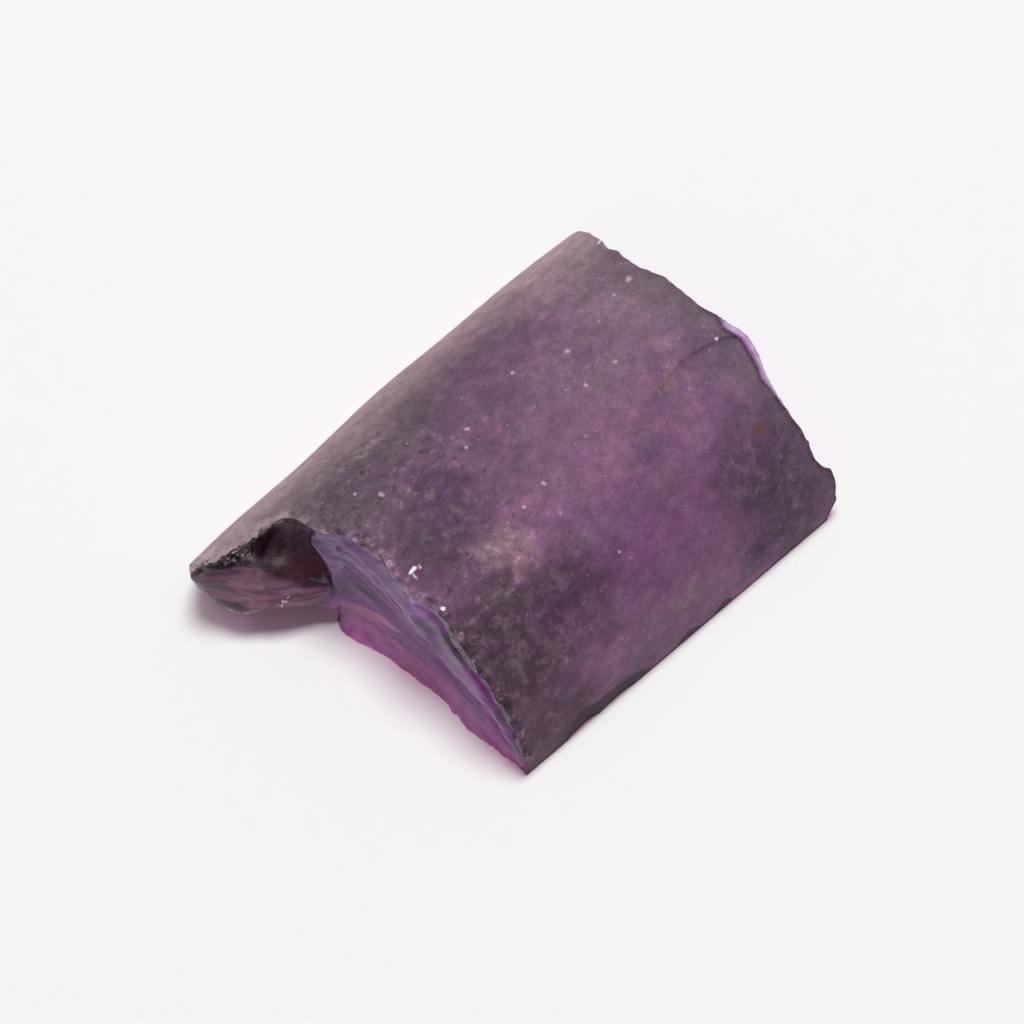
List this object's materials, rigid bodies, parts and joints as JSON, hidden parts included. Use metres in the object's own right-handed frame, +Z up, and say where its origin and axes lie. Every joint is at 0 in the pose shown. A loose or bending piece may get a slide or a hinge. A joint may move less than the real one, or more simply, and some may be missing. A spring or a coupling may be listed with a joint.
{
  "type": "rough crystal",
  "caption": "Rough purple crystal: a length of half boule with a frosted rounded skin, a flat split base, glassy broken ends and a pointed spur on the far edge.",
  "frame": {"origin": "middle of the base's bounding rectangle, on the plane that the stone rests on", "axes": "+Z up from the flat split face, +X along the boule towards the square back break, +Y towards the edge that carries the spur"},
  "size_m": [0.0278, 0.0202, 0.0101],
  "materials": {
    "crystal": "see-through crystal with a frosted, mottled skin and clear glassy breaks"
  },
  "bodies": {
    "root": {"stone": "crystal"}
  },
  "joints": []
}
